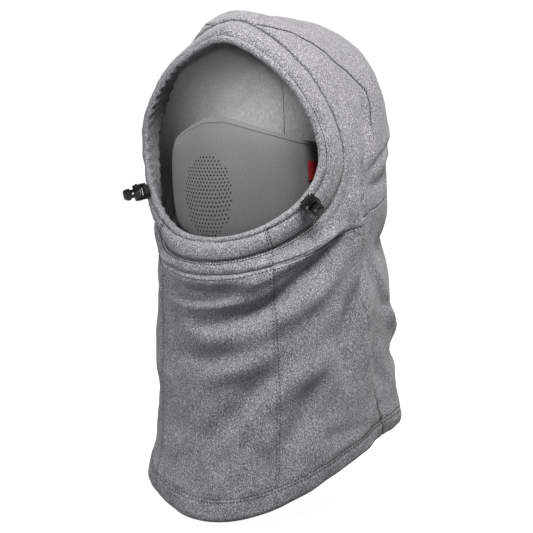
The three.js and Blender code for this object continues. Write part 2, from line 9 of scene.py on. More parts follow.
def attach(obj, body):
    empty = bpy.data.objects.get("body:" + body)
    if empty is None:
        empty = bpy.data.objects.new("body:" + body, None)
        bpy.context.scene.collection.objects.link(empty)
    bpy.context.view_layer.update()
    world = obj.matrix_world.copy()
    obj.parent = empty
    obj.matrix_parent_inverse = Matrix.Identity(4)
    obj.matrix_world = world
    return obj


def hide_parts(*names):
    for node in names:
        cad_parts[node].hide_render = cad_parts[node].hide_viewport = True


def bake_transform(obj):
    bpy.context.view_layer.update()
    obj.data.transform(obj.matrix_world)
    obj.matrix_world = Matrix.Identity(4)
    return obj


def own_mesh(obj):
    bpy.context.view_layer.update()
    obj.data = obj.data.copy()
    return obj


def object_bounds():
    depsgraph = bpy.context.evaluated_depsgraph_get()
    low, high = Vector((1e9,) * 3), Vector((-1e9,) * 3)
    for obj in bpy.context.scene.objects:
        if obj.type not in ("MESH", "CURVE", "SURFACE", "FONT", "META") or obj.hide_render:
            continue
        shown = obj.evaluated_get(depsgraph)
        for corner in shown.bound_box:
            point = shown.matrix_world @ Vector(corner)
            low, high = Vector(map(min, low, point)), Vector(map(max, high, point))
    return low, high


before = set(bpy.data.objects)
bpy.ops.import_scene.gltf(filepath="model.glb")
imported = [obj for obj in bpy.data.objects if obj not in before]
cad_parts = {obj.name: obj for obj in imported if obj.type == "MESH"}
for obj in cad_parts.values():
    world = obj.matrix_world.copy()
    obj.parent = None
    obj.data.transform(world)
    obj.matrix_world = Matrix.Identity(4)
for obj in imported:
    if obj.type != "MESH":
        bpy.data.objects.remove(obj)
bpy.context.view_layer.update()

MM = 0.001

# ------------------------------------------------------------------ camera

VIEW_AZIMUTH = math.radians(30)
VIEW_ELEVATION = math.radians(8)
LENS = 135
SENSOR = 36
IMAGE_SIZE = 533
MM_PER_PIXEL = 0.86                      # at the origin
AIM = (3.01, -65.79)                    # mm right of, and above, the origin, at the view's centre


def make_camera():
    forward = Vector((
        -math.sin(VIEW_AZIMUTH) * math.cos(VIEW_ELEVATION),
        math.cos(VIEW_AZIMUTH) * math.cos(VIEW_ELEVATION),
        -math.sin(VIEW_ELEVATION),
    ))
    right = Vector((math.cos(VIEW_AZIMUTH), math.sin(VIEW_AZIMUTH), 0))
    up = right.cross(forward)
    distance = IMAGE_SIZE * LENS / SENSOR * MM_PER_PIXEL
    data = bpy.data.cameras.new("camera")
    data.lens = LENS
    data.sensor_width = SENSOR
    camera = bpy.data.objects.new("camera", data)
    place = -forward * distance + right * AIM[0] + up * AIM[1]
    turn = Matrix((right, up, -forward)).transposed().to_4x4()
    camera.matrix_world = Matrix.Translation(place * MM) @ turn
    bpy.context.scene.collection.objects.link(camera)
    bpy.context.scene.camera = camera


make_camera()

# ------------------------------------------------------------------ the bent sleeve

# Rings from the lip of the face opening (0) past the tunnel seam (1) and the neckline seam (3)
# to the hem (5): place, front y z, side y z, back y z, half width, upper and lower roundness.
RINGS = np.array([
    (0.0, -95, -30, -52, 34, -78, 133, 86.0, 1.80, 2.00),
    (1.0, -100, -50, -25, 26, -55, 148, 92.0, 1.78, 2.05),
    (1.4, -101, -52.5, -16, 24, -15, 153, 93.5, 2.10, 2.10),
    (1.8, -101, -54.5, -8, 20, 36, 149, 94.5, 2.20, 2.10),
    (2.2, -101, -56.8, -2, 12, 88, 127, 95.5, 2.30, 2.10),
    (2.6, -100.5, -59, 2, -2, 119, 77, 95.5, 2.30, 2.10),
    (3.0, -100, -61, 6, -20, 122, 4, 94.5, 2.30, 2.10),
    (3.5, -92, -108, 11, -73, 125, -56, 94.0, 2.20, 2.15),
    (4.0, -89, -163, 17, -127, 132, -112, 96.0, 2.20, 2.20),
    (4.5, -90, -218, 20, -174, 138, -163, 97.0, 2.20, 2.20),
    (5.0, -97, -270, 22, -217, 142, -217, 99.0, 2.20, 2.15),
])
PLACES = RINGS[:, 0]
VALUES = RINGS[:, 1:]

TUNNEL_SEAM = 1.0
NECKLINE = 3.0
HEM_STITCH = 4.83
HEM = 5.0
TWIN_NEEDLE = 2.8
CHIN_SEAM = 35.0
LOCK_ANGLE = 61.5
CROWN_SEAM = np.array([
    (1, 168), (1.15, 160), (1.3, 147), (1.45, 134), (1.7, 128.5),
    (1.9, 123), (2.05, 112), (2.4, 99), (3, 84),
])
NECK_SEAM = np.array([(3, 84), (3.5, 82), (4.2, 89), (5, 100)])


def ring_slopes():
    """Slopes that never overshoot between rings."""
    step = np.diff(PLACES)[:, None]
    rise = np.diff(VALUES, axis=0) / step
    before = 2 * step[1:] + step[:-1]
    after = step[1:] + 2 * step[:-1]
    same_way = rise[:-1] * rise[1:] > 0
    safe = np.where(same_way[..., None], np.stack([rise[:-1], rise[1:]], -1), 1.0)
    mean = (before + after) / (before / safe[..., 0] + after / safe[..., 1])
    slopes = np.zeros_like(VALUES)
    slopes[0] = rise[0]
    slopes[-1] = rise[-1]
    slopes[1:-1] = np.where(same_way, mean, 0)
    return slopes


SLOPES = ring_slopes()


def ring_at(along):
    along = np.clip(along, PLACES[0], PLACES[-1])
    start = np.clip(np.searchsorted(PLACES, along, side="right") - 1, 0, len(PLACES) - 2)
    step = (PLACES[start + 1] - PLACES[start])[..., None]
    t = (along - PLACES[start])[..., None] / step
    return (
        VALUES[start] * (1 + 2 * t) * (1 - t) ** 2
        + step * SLOPES[start] * t * (1 - t) ** 2
        + VALUES[start + 1] * t * t * (3 - 2 * t)
        + step * SLOPES[start + 1] * t * t * (t - 1)
    )


def sleeve(angle, along):
    """Outer face of the plain sleeve, in mm. angle is in degrees from chin to the wearer's left."""
    angle, along = np.broadcast_arrays(np.asarray(angle, float), np.asarray(along, float))
    ring = ring_at(along)
    front = ring[..., 0:2]
    back = ring[..., 4:6]
    chord = back - front
    length = np.linalg.norm(chord, axis=-1)
    side = ring[..., 2:4] - front
    middle = (side * chord).sum(-1) / length ** 2
    across = np.stack([chord[..., 1], -chord[..., 0]], -1) / length[..., None]
    bow = (side * across).sum(-1)
    rise = -np.cos(np.radians(angle))
    sweep = np.sin(np.radians(angle))
    power = np.where(rise < 0, ring[..., 8], ring[..., 7])
    scale = (np.abs(rise) ** power + np.abs(sweep) ** power) ** (-1 / power)
    share = middle + rise * scale * np.where(rise < 0, middle, 1 - middle)
    yz = front + share[..., None] * chord + across * (bow * (sweep * scale) ** 2)[..., None]
    return np.concatenate([(ring[..., 6] * sweep * scale)[..., None], yz], -1)


def unit(v):
    return v / np.maximum(np.linalg.norm(v, axis=-1, keepdims=True), 1e-9)


def tangents(angle, along):
    """Steps of the sleeve for one degree round it and for one unit along it."""
    low = np.clip(along - 0.01, 0, HEM)
    high = np.clip(along + 0.01, 0, HEM)
    round_step = sleeve(angle + 0.5, along) - sleeve(angle - 0.5, along)
    down_step = (sleeve(angle, high) - sleeve(angle, low)) / (high - low)[..., None]
    return round_step, down_step


def seam_angle(table, along):
    return np.interp(along, table[:, 0], table[:, 1])


# ------------------------------------------------------------------ folds and seams

def waves(points, length, count, seed):
    """A smooth random field between about -1 and 1 whose bumps are about length mm apart."""
    rng = np.random.default_rng(seed)
    directions = unit(rng.normal(size=(count, 3)))
    lengths = length * rng.uniform(0.7, 1.5, count)
    phases = rng.uniform(0, 2 * math.pi, count)
    angles = points @ directions.T * (2 * math.pi / lengths) + phases
    return np.sin(angles).sum(-1) / math.sqrt(count)


# Folds that the cloth has fallen into: route as (angle, along), width and height in mm.
# A negative height is a valley.
FOLDS = [
    # under the chin: a roll of cloth, a valley that hangs like a smile, and a second roll below it
    ([(-36, 3.10), (-14, 3.13), (8, 3.13), (24, 3.11)], 4.6, 4.0),
    ([(-38, 3.17), (-25, 3.24), (-10, 3.255), (6, 3.25), (20, 3.23)], 5.2, -6.5),
    ([(-30, 3.34), (-10, 3.34), (6, 3.32), (20, 3.29)], 4.6, 4.2),
    # the long diagonal pull from the bib up to the wearer's left cheek
    ([(18, 3.21), (34, 3.13), (49, 3.00), (64, 2.88), (72, 2.78)], 6.0, 6.0),
    ([(-4, 3.46), (16, 3.42), (30, 3.38), (40, 3.32), (52, 3.22), (62, 3.14), (70, 3.04)], 6.5, -8.5),
    ([(28, 3.56), (48, 3.45), (64, 3.34), (78, 3.20)], 9.0, 4.0),
    # soft hollows and swells lower on the bib
    ([(-16, 3.54), (6, 3.56), (24, 3.54)], 9.0, 3.0),
    ([(-20, 3.75), (-5, 3.73), (8, 3.72), (20, 3.69)], 8.0, -4.4),
    ([(0, 3.88), (17, 3.82), (30, 3.73)], 9.0, 3.4),
    ([(42, 3.72), (32, 3.88), (20, 4.04), (11, 4.20), (2, 4.38)], 12.0, -4.8),
    ([(30, 4.16), (42, 4.04), (52, 3.92)], 11.0, 4.6),
    ([(53, 4.10), (48, 4.28), (42, 4.44), (36, 4.62)], 11.0, -6.5),
    ([(-6, 4.50), (-5, 4.80)], 9.0, -3.4),
    ([(55, 4.58), (68, 4.64), (80, 4.70)], 7.0, -2.6),
    # the upright fold below the wearer's left ear, with its dark hollow in front
    ([(97, 1.50), (84, 2.05), (81, 2.60), (82, 3.07), (81, 3.34), (77, 3.62)], 7.5, 5.5),
    ([(95, 2.00), (90, 2.55), (89, 3.00), (87, 3.40), (83, 3.62)], 3.8, -5.5),
    ([(100, 2.20), (97, 2.70), (96, 3.20), (94, 3.60)], 10.0, -3.0),
    ([(79, 3.50), (74, 3.70), (70, 3.90), (71, 4.20)], 8.0, -8.5),
    ([(88, 3.60), (86, 3.90), (86, 4.30)], 9.0, 4.6),
    # hollow behind the end of the crown seam, and the fuller shoulder of the crown above it
    ([(118, 1.84), (112, 1.93), (106, 1.97), (100, 2.05)], 6.5, -7.0),
    ([(140, 1.90), (130, 2.02), (122, 2.16)], 15.0, 5.0),
    # short creases at the back of the head and neck, and the soft rolls between them
    ([(100, 2.44), (108, 2.50), (120, 2.60), (130, 2.70)], 4.0, -3.6),
    ([(98, 2.70), (108, 2.78), (120, 2.86)], 4.0, -2.0),
    ([(104, 2.50), (118, 2.62), (130, 2.62)], 10.0, 3.0),
    ([(108, 3.38), (122, 3.40), (138, 3.30)], 10.0, -6.0),
    ([(92, 3.30), (100, 3.58), (108, 3.80), (122, 3.90)], 7.0, -3.6),
    ([(104, 3.60), (114, 3.86), (124, 4.06), (138, 4.10)], 11.0, 6.0),
    ([(112, 4.30), (126, 4.30), (140, 4.22)], 10.0, -3.0),
    ([(92, 4.10), (98, 4.36), (108, 4.56)], 8.0, -2.6),
    ([(104, 4.86), (122, 4.94), (136, 4.94)], 14.0, 7.0),
    # the crown: a low hump behind the tunnel, a dent, and a ridge behind the dent
    ([(200, 1.22), (184, 1.24), (172, 1.24)], 12.0, 2.5),
    ([(200, 1.48), (180, 1.54), (160, 1.54)], 13.0, -11.0),
    ([(182, 1.48), (172, 1.68), (164, 1.86)], 20.0, -7.5),
    ([(150, 2.02), (140, 2.26), (134, 2.42), (128, 2.56)], 14.0, 3.0),
    ([(200, 1.92), (180, 1.96), (165, 1.94)], 12.0, 1.5),
    ([(174, 1.72), (160, 1.74)], 10.0, -6.0),
    # the brim is flat over the wearer's right temple and swells out below it, and the neck pulls in
    ([(-176, 0.55), (-160, 0.55), (-146, 0.5)], 16.0, -7.0),
    ([(-118, 0.4), (-104, 0.5), (-92, 0.6)], 20.0, 8.0),
    ([(-78, 2.40), (-66, 2.95), (-58, 3.20)], 17.0, -6.5),
    ([(-46, 2.84), (-51, 3.20), (-52, 3.46)], 20.0, -7.5),
    ([(-58, 4.0), (-60, 4.3)], 34.0, -2.5),
    ([(-42, 4.72), (-48, 4.86)], 26.0, 3.5),
    # the wearer's right: a soft mirror of the upright fold, and drape at the back
    ([(-92, 2.2), (-88, 3.0), (-84, 3.6)], 9.0, 3.0),
    ([(-74, 3.45), (-70, 3.9), (-72, 4.3)], 11.0, -4.4),
    ([(-110, 3.40), (-130, 3.46), (-150, 3.40)], 9.0, -5.4),
    ([(-104, 3.86), (-128, 3.90), (-150, 3.86)], 9.0, -5.0),
    ([(-60, 4.10), (-48, 4.40), (-40, 4.60)], 13.0, -4.0),
    ([(160, 3.15), (180, 3.22), (205, 3.15)], 9.0, -5.0),
    ([(150, 3.70), (180, 3.80), (215, 3.72)], 11.0, -5.2),
    ([(165, 4.20), (180, 4.26), (200, 4.18)], 12.0, -4.0),
]


def stroke(points, route, width, height):
    """Push along one fold: strongest in the middle of its route and fading to both ends."""
    route = np.array(route, float)
    steps = np.linspace(0, 1, 40)
    key = np.linspace(0, 1, len(route))
    line = sleeve(np.interp(steps, key, route[:, 0]), np.interp(steps, key, route[:, 1]))
    strength = np.sin(np.pi * (0.06 + 0.88 * steps)) ** 0.6
    near = ((points > line.min(0) - 3 * width) & (points < line.max(0) + 3 * width)).all(-1)
    push = np.zeros(len(points))
    found = np.zeros(near.sum())
    for place, amount in zip(line, strength):
        distance = ((points[near] - place) ** 2).sum(-1)
        found = np.maximum(found, amount * np.exp(-distance / width ** 2))
    push[near] = found
    return push * height


def drape(points, along):
    """Folds and soft unevenness that every layer of the garment shares, in mm outward."""
    push = sum(stroke(points, *fold) for fold in FOLDS)
    loose = np.interp(along, [0, 1, 2.6, 3.2, 5], [0.5, 0.6, 1.0, 1.2, 1.6])
    return push + loose * (waves(points, 62, 9, 4) + 0.45 * waves(points, 27, 9, 5))


def groove(distance, depth, width, puff):
    """Section across a seam: a groove along the thread and a low roll of cloth each side."""
    return -depth * np.exp(-(distance / width) ** 2) + puff * np.exp(-((distance - 4.0) / 2.4) ** 2)


def seam_relief(angle, along, points):
    """Grooves and puckers at the seams, in mm outward."""
    round_step, down_step = tangents(angle, along)
    round_mm = np.linalg.norm(round_step, axis=-1)
    down_mm = np.linalg.norm(down_step, axis=-1)
    side = np.abs((angle + 180) % 360 - 180)
    pucker = waves(points, 8.5, 7, 11)
    relief = np.zeros_like(angle)

    def sew(distance, depth, width, puff, gather):
        nonlocal relief
        relief = relief + groove(distance, depth, width, puff)
        relief = relief + gather * pucker * np.exp(-(distance / 6) ** 2)

    sew(np.abs(along - TUNNEL_SEAM) * down_mm, 1.2, 1.4, 0.7, 0.35)
    in_front = np.clip((96 - side) / 12, 0.15, 1)
    sew(np.abs(along - NECKLINE) * down_mm, 1.1 * in_front, 1.1, 0.6 * in_front, 0.3)
    twin = np.abs(np.abs(side - CHIN_SEAM) * round_mm - TWIN_NEEDLE / 2)
    sew(twin, 0.8, 0.95, 0.2, 0.15)
    in_hood = (along > TUNNEL_SEAM) & (along < NECKLINE)
    crown = np.where(in_hood, np.abs(side - seam_angle(CROWN_SEAM, along)) * round_mm * 0.8, 99)
    sew(crown, 0.5, 1.0, 0.5, 0.3)
    neck = np.where(along >= NECKLINE, np.abs(side - seam_angle(NECK_SEAM, along)) * round_mm, 99)
    low_down = np.clip((along - 4.3) / 0.3, 0.25, 1)
    sew(neck, 0.9 * low_down, 1.0, 0.6 * low_down, 0.3 * low_down)
    hem = np.abs(np.abs(along - HEM_STITCH) * down_mm - TWIN_NEEDLE / 2)
    sew(hem, 0.5, 0.9, 0.3, 0.3)
    to_hem = (HEM - along) * down_mm
    return relief - 1.5 * np.exp(-(to_hem / 1.3) ** 2)


def skin(angle, along, depth=0.0, sewn=True):
    """A point of the draped garment, depth mm under its outer face."""
    angle, along = np.broadcast_arrays(np.asarray(angle, float), np.asarray(along, float))
    shape = angle.shape
    angle, along = angle.ravel(), along.ravel()
    base = sleeve(angle, along)
    round_step, down_step = tangents(angle, along)
    normal = unit(np.cross(down_step, round_step))
    push = drape(base, along)
    if sewn:
        push = push + seam_relief(angle, along, base)
    depth = np.broadcast_to(depth, shape).ravel()
    return (base + normal * (push - depth)[:, None]).reshape(shape + (3,))


# ------------------------------------------------------------------ mesh making

def new_object(name, vertices, faces, material):
    mesh = bpy.data.meshes.new(name)
    mesh.from_pydata((np.asarray(vertices) * MM).tolist(), [], faces)
    mesh.validate()
    mesh.update()
    mesh.shade_smooth()
    mesh.materials.append(material)
    piece = bpy.data.objects.new(name, mesh)
    bpy.context.scene.collection.objects.link(piece)
    return piece


def grid_faces(rows, columns, start=0, flip=False):
    index = start + np.arange(rows * columns).reshape(rows, columns)
    quads = np.stack([index[:-1, :-1], index[:-1, 1:], index[1:, 1:], index[1:, :-1]], -1).reshape(-1, 4)
    return (quads[:, ::-1] if flip else quads).tolist()


def sheet_mesh(name, outside, inside, material):
    """A closed sheet from two grids of points, [row, column, xyz]."""
    rows, columns = outside.shape[:2]
    count = rows * columns
    faces = grid_faces(rows, columns, 0, True) + grid_faces(rows, columns, count)
    index = np.arange(count).reshape(rows, columns)
    border = np.concatenate([index[0, :-1], index[:-1, -1], index[-1, :0:-1], index[:0:-1, 0]])
    following = np.roll(border, -1)
    faces += np.stack([border, following, following + count, border + count], -1).tolist()
    vertices = np.concatenate([outside.reshape(-1, 3), inside.reshape(-1, 3)])
    return new_object(name, vertices, faces, material)


def tube_mesh(name, loops, material):
    """Rings of points joined one after another, with both ends filled."""
    stations, count = loops.shape[:2]
    index = np.arange(stations * count).reshape(stations, count)
    following = np.roll(index, -1, axis=1)
    onward = np.roll(index, -1, axis=0)
    onward_next = np.roll(following, -1, axis=0)
    quads = np.stack([index, following, onward_next, onward], -1)[:-1].reshape(-1, 4)
    faces = quads.tolist() + [index[0, ::-1].tolist(), index[-1].tolist()]
    return new_object(name, loops.reshape(-1, 3), faces, material)


def outward(piece):
    """Turns a closed piece's faces to point out."""
    mesh = piece.data
    mesh.calc_loop_triangles()
    volume = 0.0
    for triangle in mesh.loop_triangles:
        a, b, c = (mesh.vertices[k].co for k in triangle.vertices)
        volume += a.dot(b.cross(c))
    if volume < 0:
        mesh.flip_normals()
    return piece


def finish_piece(piece, body, slot_name, *nodes):
    outward(piece)
    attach(piece, body)
    if nodes:
        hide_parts(*nodes)
    return piece


# ------------------------------------------------------------------ materials

class Nodes:
    """Small helper that adds shader nodes and joins them."""

    def __init__(self, name):
        self.material = bpy.data.materials.new(name)
        self.material.use_nodes = True
        self.tree = self.material.node_tree
        self.shader = self.tree.nodes["Principled BSDF"]

    def add(self, kind, **values):
        node = self.tree.nodes.new(kind)
        for key, value in values.items():
            if key in node.inputs:
                node.inputs[key].default_value = value
            else:
                setattr(node, key, value)
        return node

    def link(self, source, target):
        self.tree.links.new(source, target)

    def coordinates(self, stretch=(1, 1, 1)):
        where = self.add("ShaderNodeTexCoord")
        mapping = self.add("ShaderNodeMapping")
        mapping.inputs["Scale"].default_value = stretch
        self.link(where.outputs["Object"], mapping.inputs["Vector"])
        return mapping.outputs["Vector"]

    def noise(self, vector, scale, detail=2.0, roughness=0.5):
        node = self.add("ShaderNodeTexNoise", Scale=scale, Detail=detail, Roughness=roughness)
        self.link(vector, node.inputs["Vector"])
        return node.outputs["Fac"]

    def ramp(self, factor, stops):
        node = self.add("ShaderNodeValToRGB")
        elements = node.color_ramp.elements
        while len(elements) < len(stops):
            elements.new(0.5)
        for element, (position, colour) in zip(elements, stops):
            element.position = position
            element.color = (*colour, 1)
        self.link(factor, node.inputs["Fac"])
        return node.outputs["Color"]

    def multiply(self, a, b):
        """Two colours multiplied. The mix node's first socket is its factor, and 6 and 7 its colours."""
        node = self.add("ShaderNodeMix", data_type="RGBA", blend_type="MULTIPLY")
        node.inputs[0].default_value = 1.0
        self.link(a, node.inputs[6])
        self.link(b, node.inputs[7])
        return node.outputs[2]

    def bump(self, height, strength, distance, normal=None):
        node = self.add("ShaderNodeBump", Strength=strength, Distance=distance)
        self.link(height, node.inputs["Height"])
        if normal is not None:
            self.link(normal, node.inputs["Normal"])
        return node.outputs["Normal"]


def grey(value, tint=(1.0, 1.0, 1.0)):
    return tuple(value * t for t in tint)


def heather_knit():
    """Marled jersey: pale and dark fibres mixed at about a millimetre, with a brushed bloom."""
    m = Nodes("shell_knit_look")
    cloth = m.coordinates()
    columns = m.coordinates((1.3, 1.3, 0.7))
    coarse = m.ramp(m.noise(columns, 1020, 2, 0.75), [
        (0.35, grey(0.07, (1, 0.99, 1.08))),
        (0.46, grey(0.165, (1, 0.99, 1.06))),
        (0.54, grey(0.25, (1, 0.99, 1.05))),
        (0.67, grey(0.56, (1, 0.99, 1.03))),
    ])
    fine = m.ramp(m.noise(columns, 2000, 2, 0.7), [(0.35, grey(0.62)), (0.65, grey(1.0))])
    patches = m.ramp(m.noise(cloth, 90, 4, 0.65), [(0.3, grey(0.84)), (0.7, grey(1.0))])
    colour = m.multiply(coarse, fine)
    m.link(m.multiply(colour, patches), m.shader.inputs["Base Color"])
    loops = m.noise(columns, 1300, 2, 0.6)
    nap = m.noise(cloth, 420, 3, 0.7)
    normal = m.bump(loops, 0.6, 0.0005)
    normal = m.bump(nap, 0.45, 0.0008, normal)
    m.link(normal, m.shader.inputs["Normal"])
    m.shader.inputs["Roughness"].default_value = 0.92
    m.shader.inputs["Sheen Weight"].default_value = 0.12
    m.shader.inputs["Sheen Roughness"].default_value = 0.6
    m.shader.inputs["Specular IOR Level"].default_value = 0.15
    return m.material


def brushed_lining():
    m = Nodes("lining_look")
    cloth = m.coordinates()
    ribs = m.coordinates((2.2, 2.2, 0.35))
    fibres = m.ramp(m.noise(ribs, 700, 3, 0.7), [(0.3, grey(0.20)), (0.5, grey(0.30)), (0.7, grey(0.40))])
    patches = m.ramp(m.noise(cloth, 70, 3, 0.6), [(0.3, grey(0.9)), (0.7, grey(1.0))])
    m.link(m.multiply(fibres, patches), m.shader.inputs["Base Color"])
    normal = m.bump(m.noise(ribs, 1000, 2, 0.6), 0.4, 0.0004)
    m.link(m.bump(m.noise(cloth, 300, 3, 0.6), 0.25, 0.0006, normal), m.shader.inputs["Normal"])
    m.shader.inputs["Roughness"].default_value = 0.95
    m.shader.inputs["Sheen Weight"].default_value = 0.3
    m.shader.inputs["Specular IOR Level"].default_value = 0.12
    return m.material


def smooth_cloth(name, value):
    """Bonded tricot: almost plain, with a very fine weave."""
    m = Nodes(name)
    cloth = m.coordinates()
    fine = m.noise(m.coordinates((1.6, 1.6, 0.7)), 1300, 2, 0.6)
    colour = m.ramp(fine, [(0.3, grey(value * 0.84)), (0.7, grey(value * 1.14))])
    patches = m.ramp(m.noise(cloth, 60, 3, 0.5), [(0.3, grey(0.93)), (0.7, grey(1.0))])
    m.link(m.multiply(colour, patches), m.shader.inputs["Base Color"])
    m.link(m.bump(fine, 0.25, 0.0003), m.shader.inputs["Normal"])
    m.shader.inputs["Roughness"].default_value = 0.8
    m.shader.inputs["Sheen Weight"].default_value = 0.12
    m.shader.inputs["Specular IOR Level"].default_value = 0.2
    return m.material


def thread(name, value):
    m = Nodes(name)
    cloth = m.coordinates()
    m.link(m.ramp(m.noise(cloth, 2200, 2), [(0.3, grey(value * 0.7)), (0.7, grey(value * 1.3))]),
           m.shader.inputs["Base Color"])
    m.shader.inputs["Roughness"].default_value = 0.6
    return m.material


def woven_red():
    m = Nodes("label_look")
    cloth = m.coordinates()
    weave = m.noise(m.coordinates((3, 3, 1)), 900, 2, 0.6)
    m.link(m.ramp(weave, [(0.3, (0.19, 0.004, 0.007)), (0.7, (0.36, 0.012, 0.016))]),
           m.shader.inputs["Base Color"])
    m.link(m.bump(m.noise(cloth, 1500, 2), 0.4, 0.0003), m.shader.inputs["Normal"])
    m.shader.inputs["Roughness"].default_value = 0.65
    return m.material


def black_webbing(name, stretch):
    m = Nodes(name)
    weave = m.noise(m.coordinates(stretch), 900, 2, 0.6)
    m.link(m.ramp(weave, [(0.3, grey(0.003)), (0.7, grey(0.014))]), m.shader.inputs["Base Color"])
    m.link(m.bump(weave, 0.4, 0.0003), m.shader.inputs["Normal"])
    m.shader.inputs["Roughness"].default_value = 0.6
    m.shader.inputs["Specular IOR Level"].default_value = 0.2
    return m.material


def moulded_nylon():
    m = Nodes("lock_look")
    cloth = m.coordinates()
    wear = m.noise(cloth, 260, 4, 0.7)
    m.link(m.ramp(wear, [(0.35, grey(0.003)), (0.75, grey(0.007))]), m.shader.inputs["Base Color"])
    m.link(m.ramp(wear, [(0.3, grey(0.20)), (0.75, grey(0.34))]), m.shader.inputs["Roughness"])
    m.link(m.bump(m.noise(cloth, 1600, 2), 0.08, 0.0001), m.shader.inputs["Normal"])
    m.shader.inputs["Specular IOR Level"].default_value = 0.35
    return m.material


def spring_wire():
    m = Nodes("spring_look")
    m.link(m.ramp(m.noise(m.coordinates(), 800, 2), [(0.3, grey(0.45)), (0.7, grey(0.62))]),
           m.shader.inputs["Base Color"])
    m.shader.inputs["Metallic"].default_value = 1.0
    m.shader.inputs["Roughness"].default_value = 0.3
    return m.material


KNIT = heather_knit()
LINING = brushed_lining()
MASK = smooth_cloth("mask_look", 0.108)
BINDING = smooth_cloth("binding_look", 0.125)
# Near-black cloth for the walls of the vent holes: painted shade inside the holes, much darker than the
# mask cloth they are cut from.
HOLE_WALL_SHADE = smooth_cloth("painted_hole_shade_look", 0.02)
DARK_THREAD = thread("dark_thread_look", 0.010)
GREY_THREAD = thread("grey_thread_look", 0.014)
LINING_THREAD = thread("lining_thread_look", 0.08)
RED = woven_red()
WEBBING = black_webbing("webbing_look", (1, 1, 3))
ELASTIC = black_webbing("elastic_look", (2, 2, 2))
NYLON = moulded_nylon()
WIRE = spring_wire()

# ------------------------------------------------------------------ shell and lining panels

SHELL_THICKNESS = 2.2
LINING_DEPTH = 3.0
LINING_THICKNESS = 1.3
HEM_TURN_UP = 1.9                        # extra thickness where the hem is turned up inside
HOOD_ROWS = 92                           # mesh rows down the hood, and down the neck
NECK_ROWS = 96


def panel(name, first, last, near, far, columns, rows, material, slot_name, nodes, lining=False):
    """A panel between two seams. first and last are places along the sleeve, near and far its edges."""
    places = np.linspace(first, last, rows)[:, None] * np.ones((1, columns))
    share = np.linspace(0, 1, columns)[None, :]
    angles = near(places) * (1 - share) + far(places) * share
    if lining:
        outside = skin(angles, places, LINING_DEPTH, sewn=False)
        inside = skin(angles, places, LINING_DEPTH + LINING_THICKNESS, sewn=False)
    else:
        turned_up = np.clip((places - HEM_STITCH) / 0.01, 0, 1) * HEM_TURN_UP
        outside = skin(angles, places)
        inside = skin(angles, places, SHELL_THICKNESS + turned_up, sewn=False)
    piece = sheet_mesh(name, outside, inside, material)
    return finish_piece(piece, "hood", slot_name, *nodes)


def crown_edge(along):
    return seam_angle(CROWN_SEAM, along)


def neck_edge(along):
    return seam_angle(NECK_SEAM, along)


def chin_edge(along):
    return np.full_like(along, CHIN_SEAM)


def negative(edge):
    return lambda along: -edge(along)


def beyond(edge):
    return lambda along: 360 - edge(along)


def hood_layer(first, material, slot_name, names, lining):
    """The crown and both side panels of one layer of the hood."""
    side, crown = names
    panel(f"{side}_left_cloth", first, NECKLINE, chin_edge, crown_edge, 66, HOOD_ROWS,
          material, slot_name, [f"{side}_left"], lining)
    panel(f"{side}_right_cloth", first, NECKLINE, negative(crown_edge), negative(chin_edge), 66, HOOD_ROWS,
          material, slot_name, [f"{side}_right"], lining)
    panel(f"{crown}_cloth", first, NECKLINE, crown_edge, beyond(crown_edge), 120, HOOD_ROWS,
          material, slot_name, [crown], lining)


def make_panels():
    hood_layer(TUNNEL_SEAM, KNIT, "shell_knit", ("hood_side_panel", "crown_panel"), False)
    hood_layer(TUNNEL_SEAM, LINING, "lining_fleece", ("hood_lining_side", "hood_lining_crown"), True)
    panel("chin_band_cloth", TUNNEL_SEAM, NECKLINE, negative(chin_edge), chin_edge, 52, 12, KNIT,
          "shell_knit", ["chin_band"])
    panel("front_bib_cloth", NECKLINE, HEM, negative(chin_edge), chin_edge, 52, NECK_ROWS,
          KNIT, "shell_knit", ["front_bib_panel"])
    panel("neck_side_left_cloth", NECKLINE, HEM, chin_edge, neck_edge, 44, NECK_ROWS,
          KNIT, "shell_knit", ["neck_side_panel_left"])
    panel("neck_side_right_cloth", NECKLINE, HEM, negative(neck_edge), negative(chin_edge), 44, NECK_ROWS,
          KNIT, "shell_knit", ["neck_side_panel_right"])
    panel("neck_back_cloth", NECKLINE, HEM, neck_edge, beyond(neck_edge), 128, NECK_ROWS,
          KNIT, "shell_knit", ["neck_back_panel"])


make_panels()

# ------------------------------------------------------------------ drawcord tunnel

# Section: fraction of the tunnel's width from the lip, and depth under the sleeve's face in mm.
TUNNEL_SECTION = np.array([
    (1.0, 3.2), (1.0, 2.0), (0.98, 1.0), (0.93, -0.1), (0.83, -1.4), (0.66, -2.6), (0.48, -3.0),
    (0.34, -2.2), (0.25, -0.8), (0.205, 0.6), (0.175, 0.1), (0.12, -0.1), (0.06, 0.6), (0.02, 1.8),
    (0.0, 3.3), (0.01, 4.6), (0.05, 5.6), (0.12, 6.2), (0.19, 5.9), (0.3, 7.0), (0.5, 7.4),
    (0.7, 6.9), (0.88, 5.9), (1.0, 4.8),
])
TUNNEL_TOP_ROWS = 14                     # the rows of the section that face out
TUNNEL_STEP = 1.4                        # degrees between the tunnel's rings


